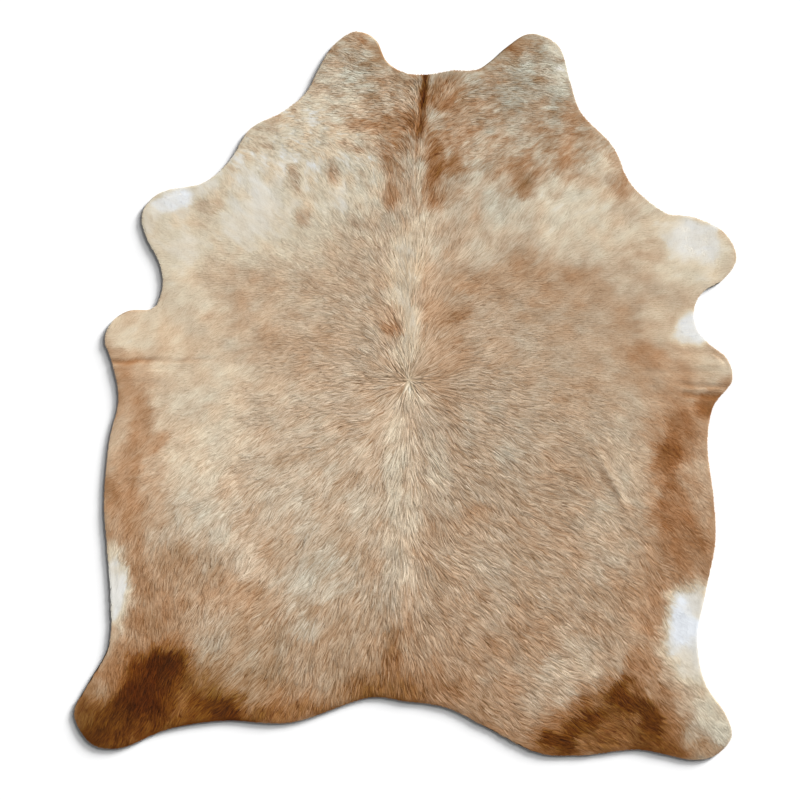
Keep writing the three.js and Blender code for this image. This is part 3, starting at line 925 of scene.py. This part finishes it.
# The four points of each lock: root, left, right, tip
def lockPoints(x, y, length, width, aheadX, aheadY, bend, inTuft, layer, relief):
    def place(onward, aside, rise):
        sideways = bend * onward ** 2 * length + aside
        px = x + onward * length * aheadX - sideways * aheadY
        py = y + onward * length * aheadY + sideways * aheadX
        drop = coat["rimDrop"] * (1.0 - smoothStep(*coat["rimBand"], surveyed(edgeDistance, px, py)))
        fromAxis = inTuft * (1.0 - coat["gather"] * onward ** 2) + aside
        roundBack = coat["tuftRise"] * (1.0 - np.clip(2.0 * fromAxis / coat["tuft"], -1.0, 1.0) ** 2)
        return np.stack([px, py, coatBed(px, py) * (1.0 - drop) + relief * (rise + roundBack)], axis=1)

    half = 0.5 * width
    root = place(0.0, 0.0, coat["rootDepth"])
    left = place(coat["widestAt"], half, layer)
    right = place(coat["widestAt"], -half, layer)
    tip = place(1.0, 0.0, coat["tipLayer"] * layer + coat["lift"])
    return np.stack([root, left, right, tip], axis=1)


lockFaces = np.array([[0, 2, 1], [1, 2, 3]])
lockCell = np.array([[0.5, 0.08], [0.1, 0.48], [0.9, 0.48], [0.5, 0.92]])  # of the map


# Each lock's own cell of the texture map, near those of its neighbours
def lockCells(x, y):
    side = math.ceil(math.sqrt(len(x)))
    byRow = np.argsort(y, kind="stable")
    cells = np.empty((len(x), 2))
    for row in range(math.ceil(len(x) / side)):
        here = byRow[row * side:(row + 1) * side]
        here = here[np.argsort(x[here], kind="stable")]
        cells[here, 0] = np.arange(len(here))
        cells[here, 1] = row
    return (cells[:, None, :] + lockCell) / side


def makeHairBand(name, locks, material):
    x, y, *shape, light, shade = locks
    points = lockPoints(x, y, *shape).reshape(-1, 3)
    faces = (np.arange(len(x))[:, None, None] * len(lockCell) + lockFaces).reshape(-1, 3)
    piece = meshFromArrays(name, points, faces)
    # painted shade at the root, where a lock lies under its neighbours, and a paler tip
    along = np.array([-coat["rootPaintedShade"], 0.0, 0.0, coat["tipPaler"]])
    along = along * (1.0 - coat["whiteAlike"] * smoothStep(*coat["whiteRoot"], light))[:, None]
    light, warmth = [np.repeat(column, len(lockCell)) for column in (light, coatWarmthAt(x, y))]
    paintPoints(piece, coat["gain"] * toneColour(light, warmth, (shade[:, None] + along).ravel()))
    cells = lockCells(x, y).reshape(-1, 2)
    layerOfCells = piece.data.uv_layers.new(name="OFBake")
    layerOfCells.data.foreach_set("uv", cells[faces.ravel()].astype(np.float32).ravel())
    piece.data.materials.append(material)
    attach(piece, "root")
    print(name, "grown:", len(x), "locks,", len(faces), "faces")
    return piece


# Bands from the rump to the neck, with as many locks in each
def makeCoat():
    locks = growLocks()
    material = coatMaterial("cowhide_hair", coat["look"])
    borders = np.quantile(locks[1], np.linspace(0.0, 1.0, len(coat["bands"]) + 1))
    borders[0], borders[-1] = -math.inf, math.inf
    bands = []
    for index, name in enumerate(coat["bands"]):
        here = (locks[1] >= borders[index]) & (locks[1] < borders[index + 1])
        bands.append(makeHairBand(name, [column[here] for column in locks], material))
    return bands


hairBands = makeCoat()

# Floor, light and camera
studio = {
    "floorSize": 30.0,
    "floorHeight": -0.0003,  # just under the leather
    "floorColour": (0.9, 0.9, 0.9, 1.0),
    "lens": 150.0,
    "sensor": 36.0,
    "frameWidth": 2.4208,  # what the picture shows across
    "lookAt": (-0.0159, -0.0131),
    "sunFrom": 42.0,  # heading to the light, in degrees from +X
    # name, degrees above the floor, strength, size in degrees
    "suns": [("key", 9.0, 13.3, 12.0), ("softKey", 24.0, 2.8, 28.0)],
    "fill": 0.15,
}


def makeFloor():
    half = studio["floorSize"] / 2
    corners = [(-half, -half), (half, -half), (half, half), (-half, half)]
    points = np.array([(x, y, studio["floorHeight"]) for x, y in corners])
    floor = meshFromArrays("floor", points, np.array([[0, 1, 2], [0, 2, 3]]))
    material = bpy.data.materials.new("floor_pale")
    material.use_nodes = True
    shader = material.node_tree.nodes["Principled BSDF"]
    shader.inputs["Base Color"].default_value = studio["floorColour"]
    shader.inputs["Roughness"].default_value = 0.9
    shader.inputs["Specular IOR Level"].default_value = 0.1
    floor.data.materials.append(material)


def makeLight():
    for name, height, strength, size in studio["suns"]:
        sun = bpy.data.lights.new(name, "SUN")
        sun.energy = strength
        sun.angle = math.radians(size)
        lamp = bpy.data.objects.new(name, sun)
        lamp.rotation_euler = (0.0, math.radians(90.0 - height), math.radians(studio["sunFrom"]))
        bpy.context.scene.collection.objects.link(lamp)
    world = bpy.data.worlds.new("studio")
    world.use_nodes = True
    backdrop = world.node_tree.nodes["Background"]
    backdrop.inputs["Color"].default_value = (1.0, 1.0, 1.0, 1.0)
    backdrop.inputs["Strength"].default_value = studio["fill"]
    bpy.context.scene.world = world


def makeCamera():
    optics = bpy.data.cameras.new("camera")
    optics.lens = studio["lens"]
    optics.sensor_width = studio["sensor"]
    optics.clip_end = 100.0
    camera = bpy.data.objects.new("camera", optics)
    camera.location = (*studio["lookAt"], studio["frameWidth"] * studio["lens"] / studio["sensor"])
    bpy.context.scene.collection.objects.link(camera)
    bpy.context.scene.camera = camera


makeFloor()
makeLight()
makeCamera()
bpy.context.scene.view_settings.view_transform = "Standard"
print("floor, light and camera set")
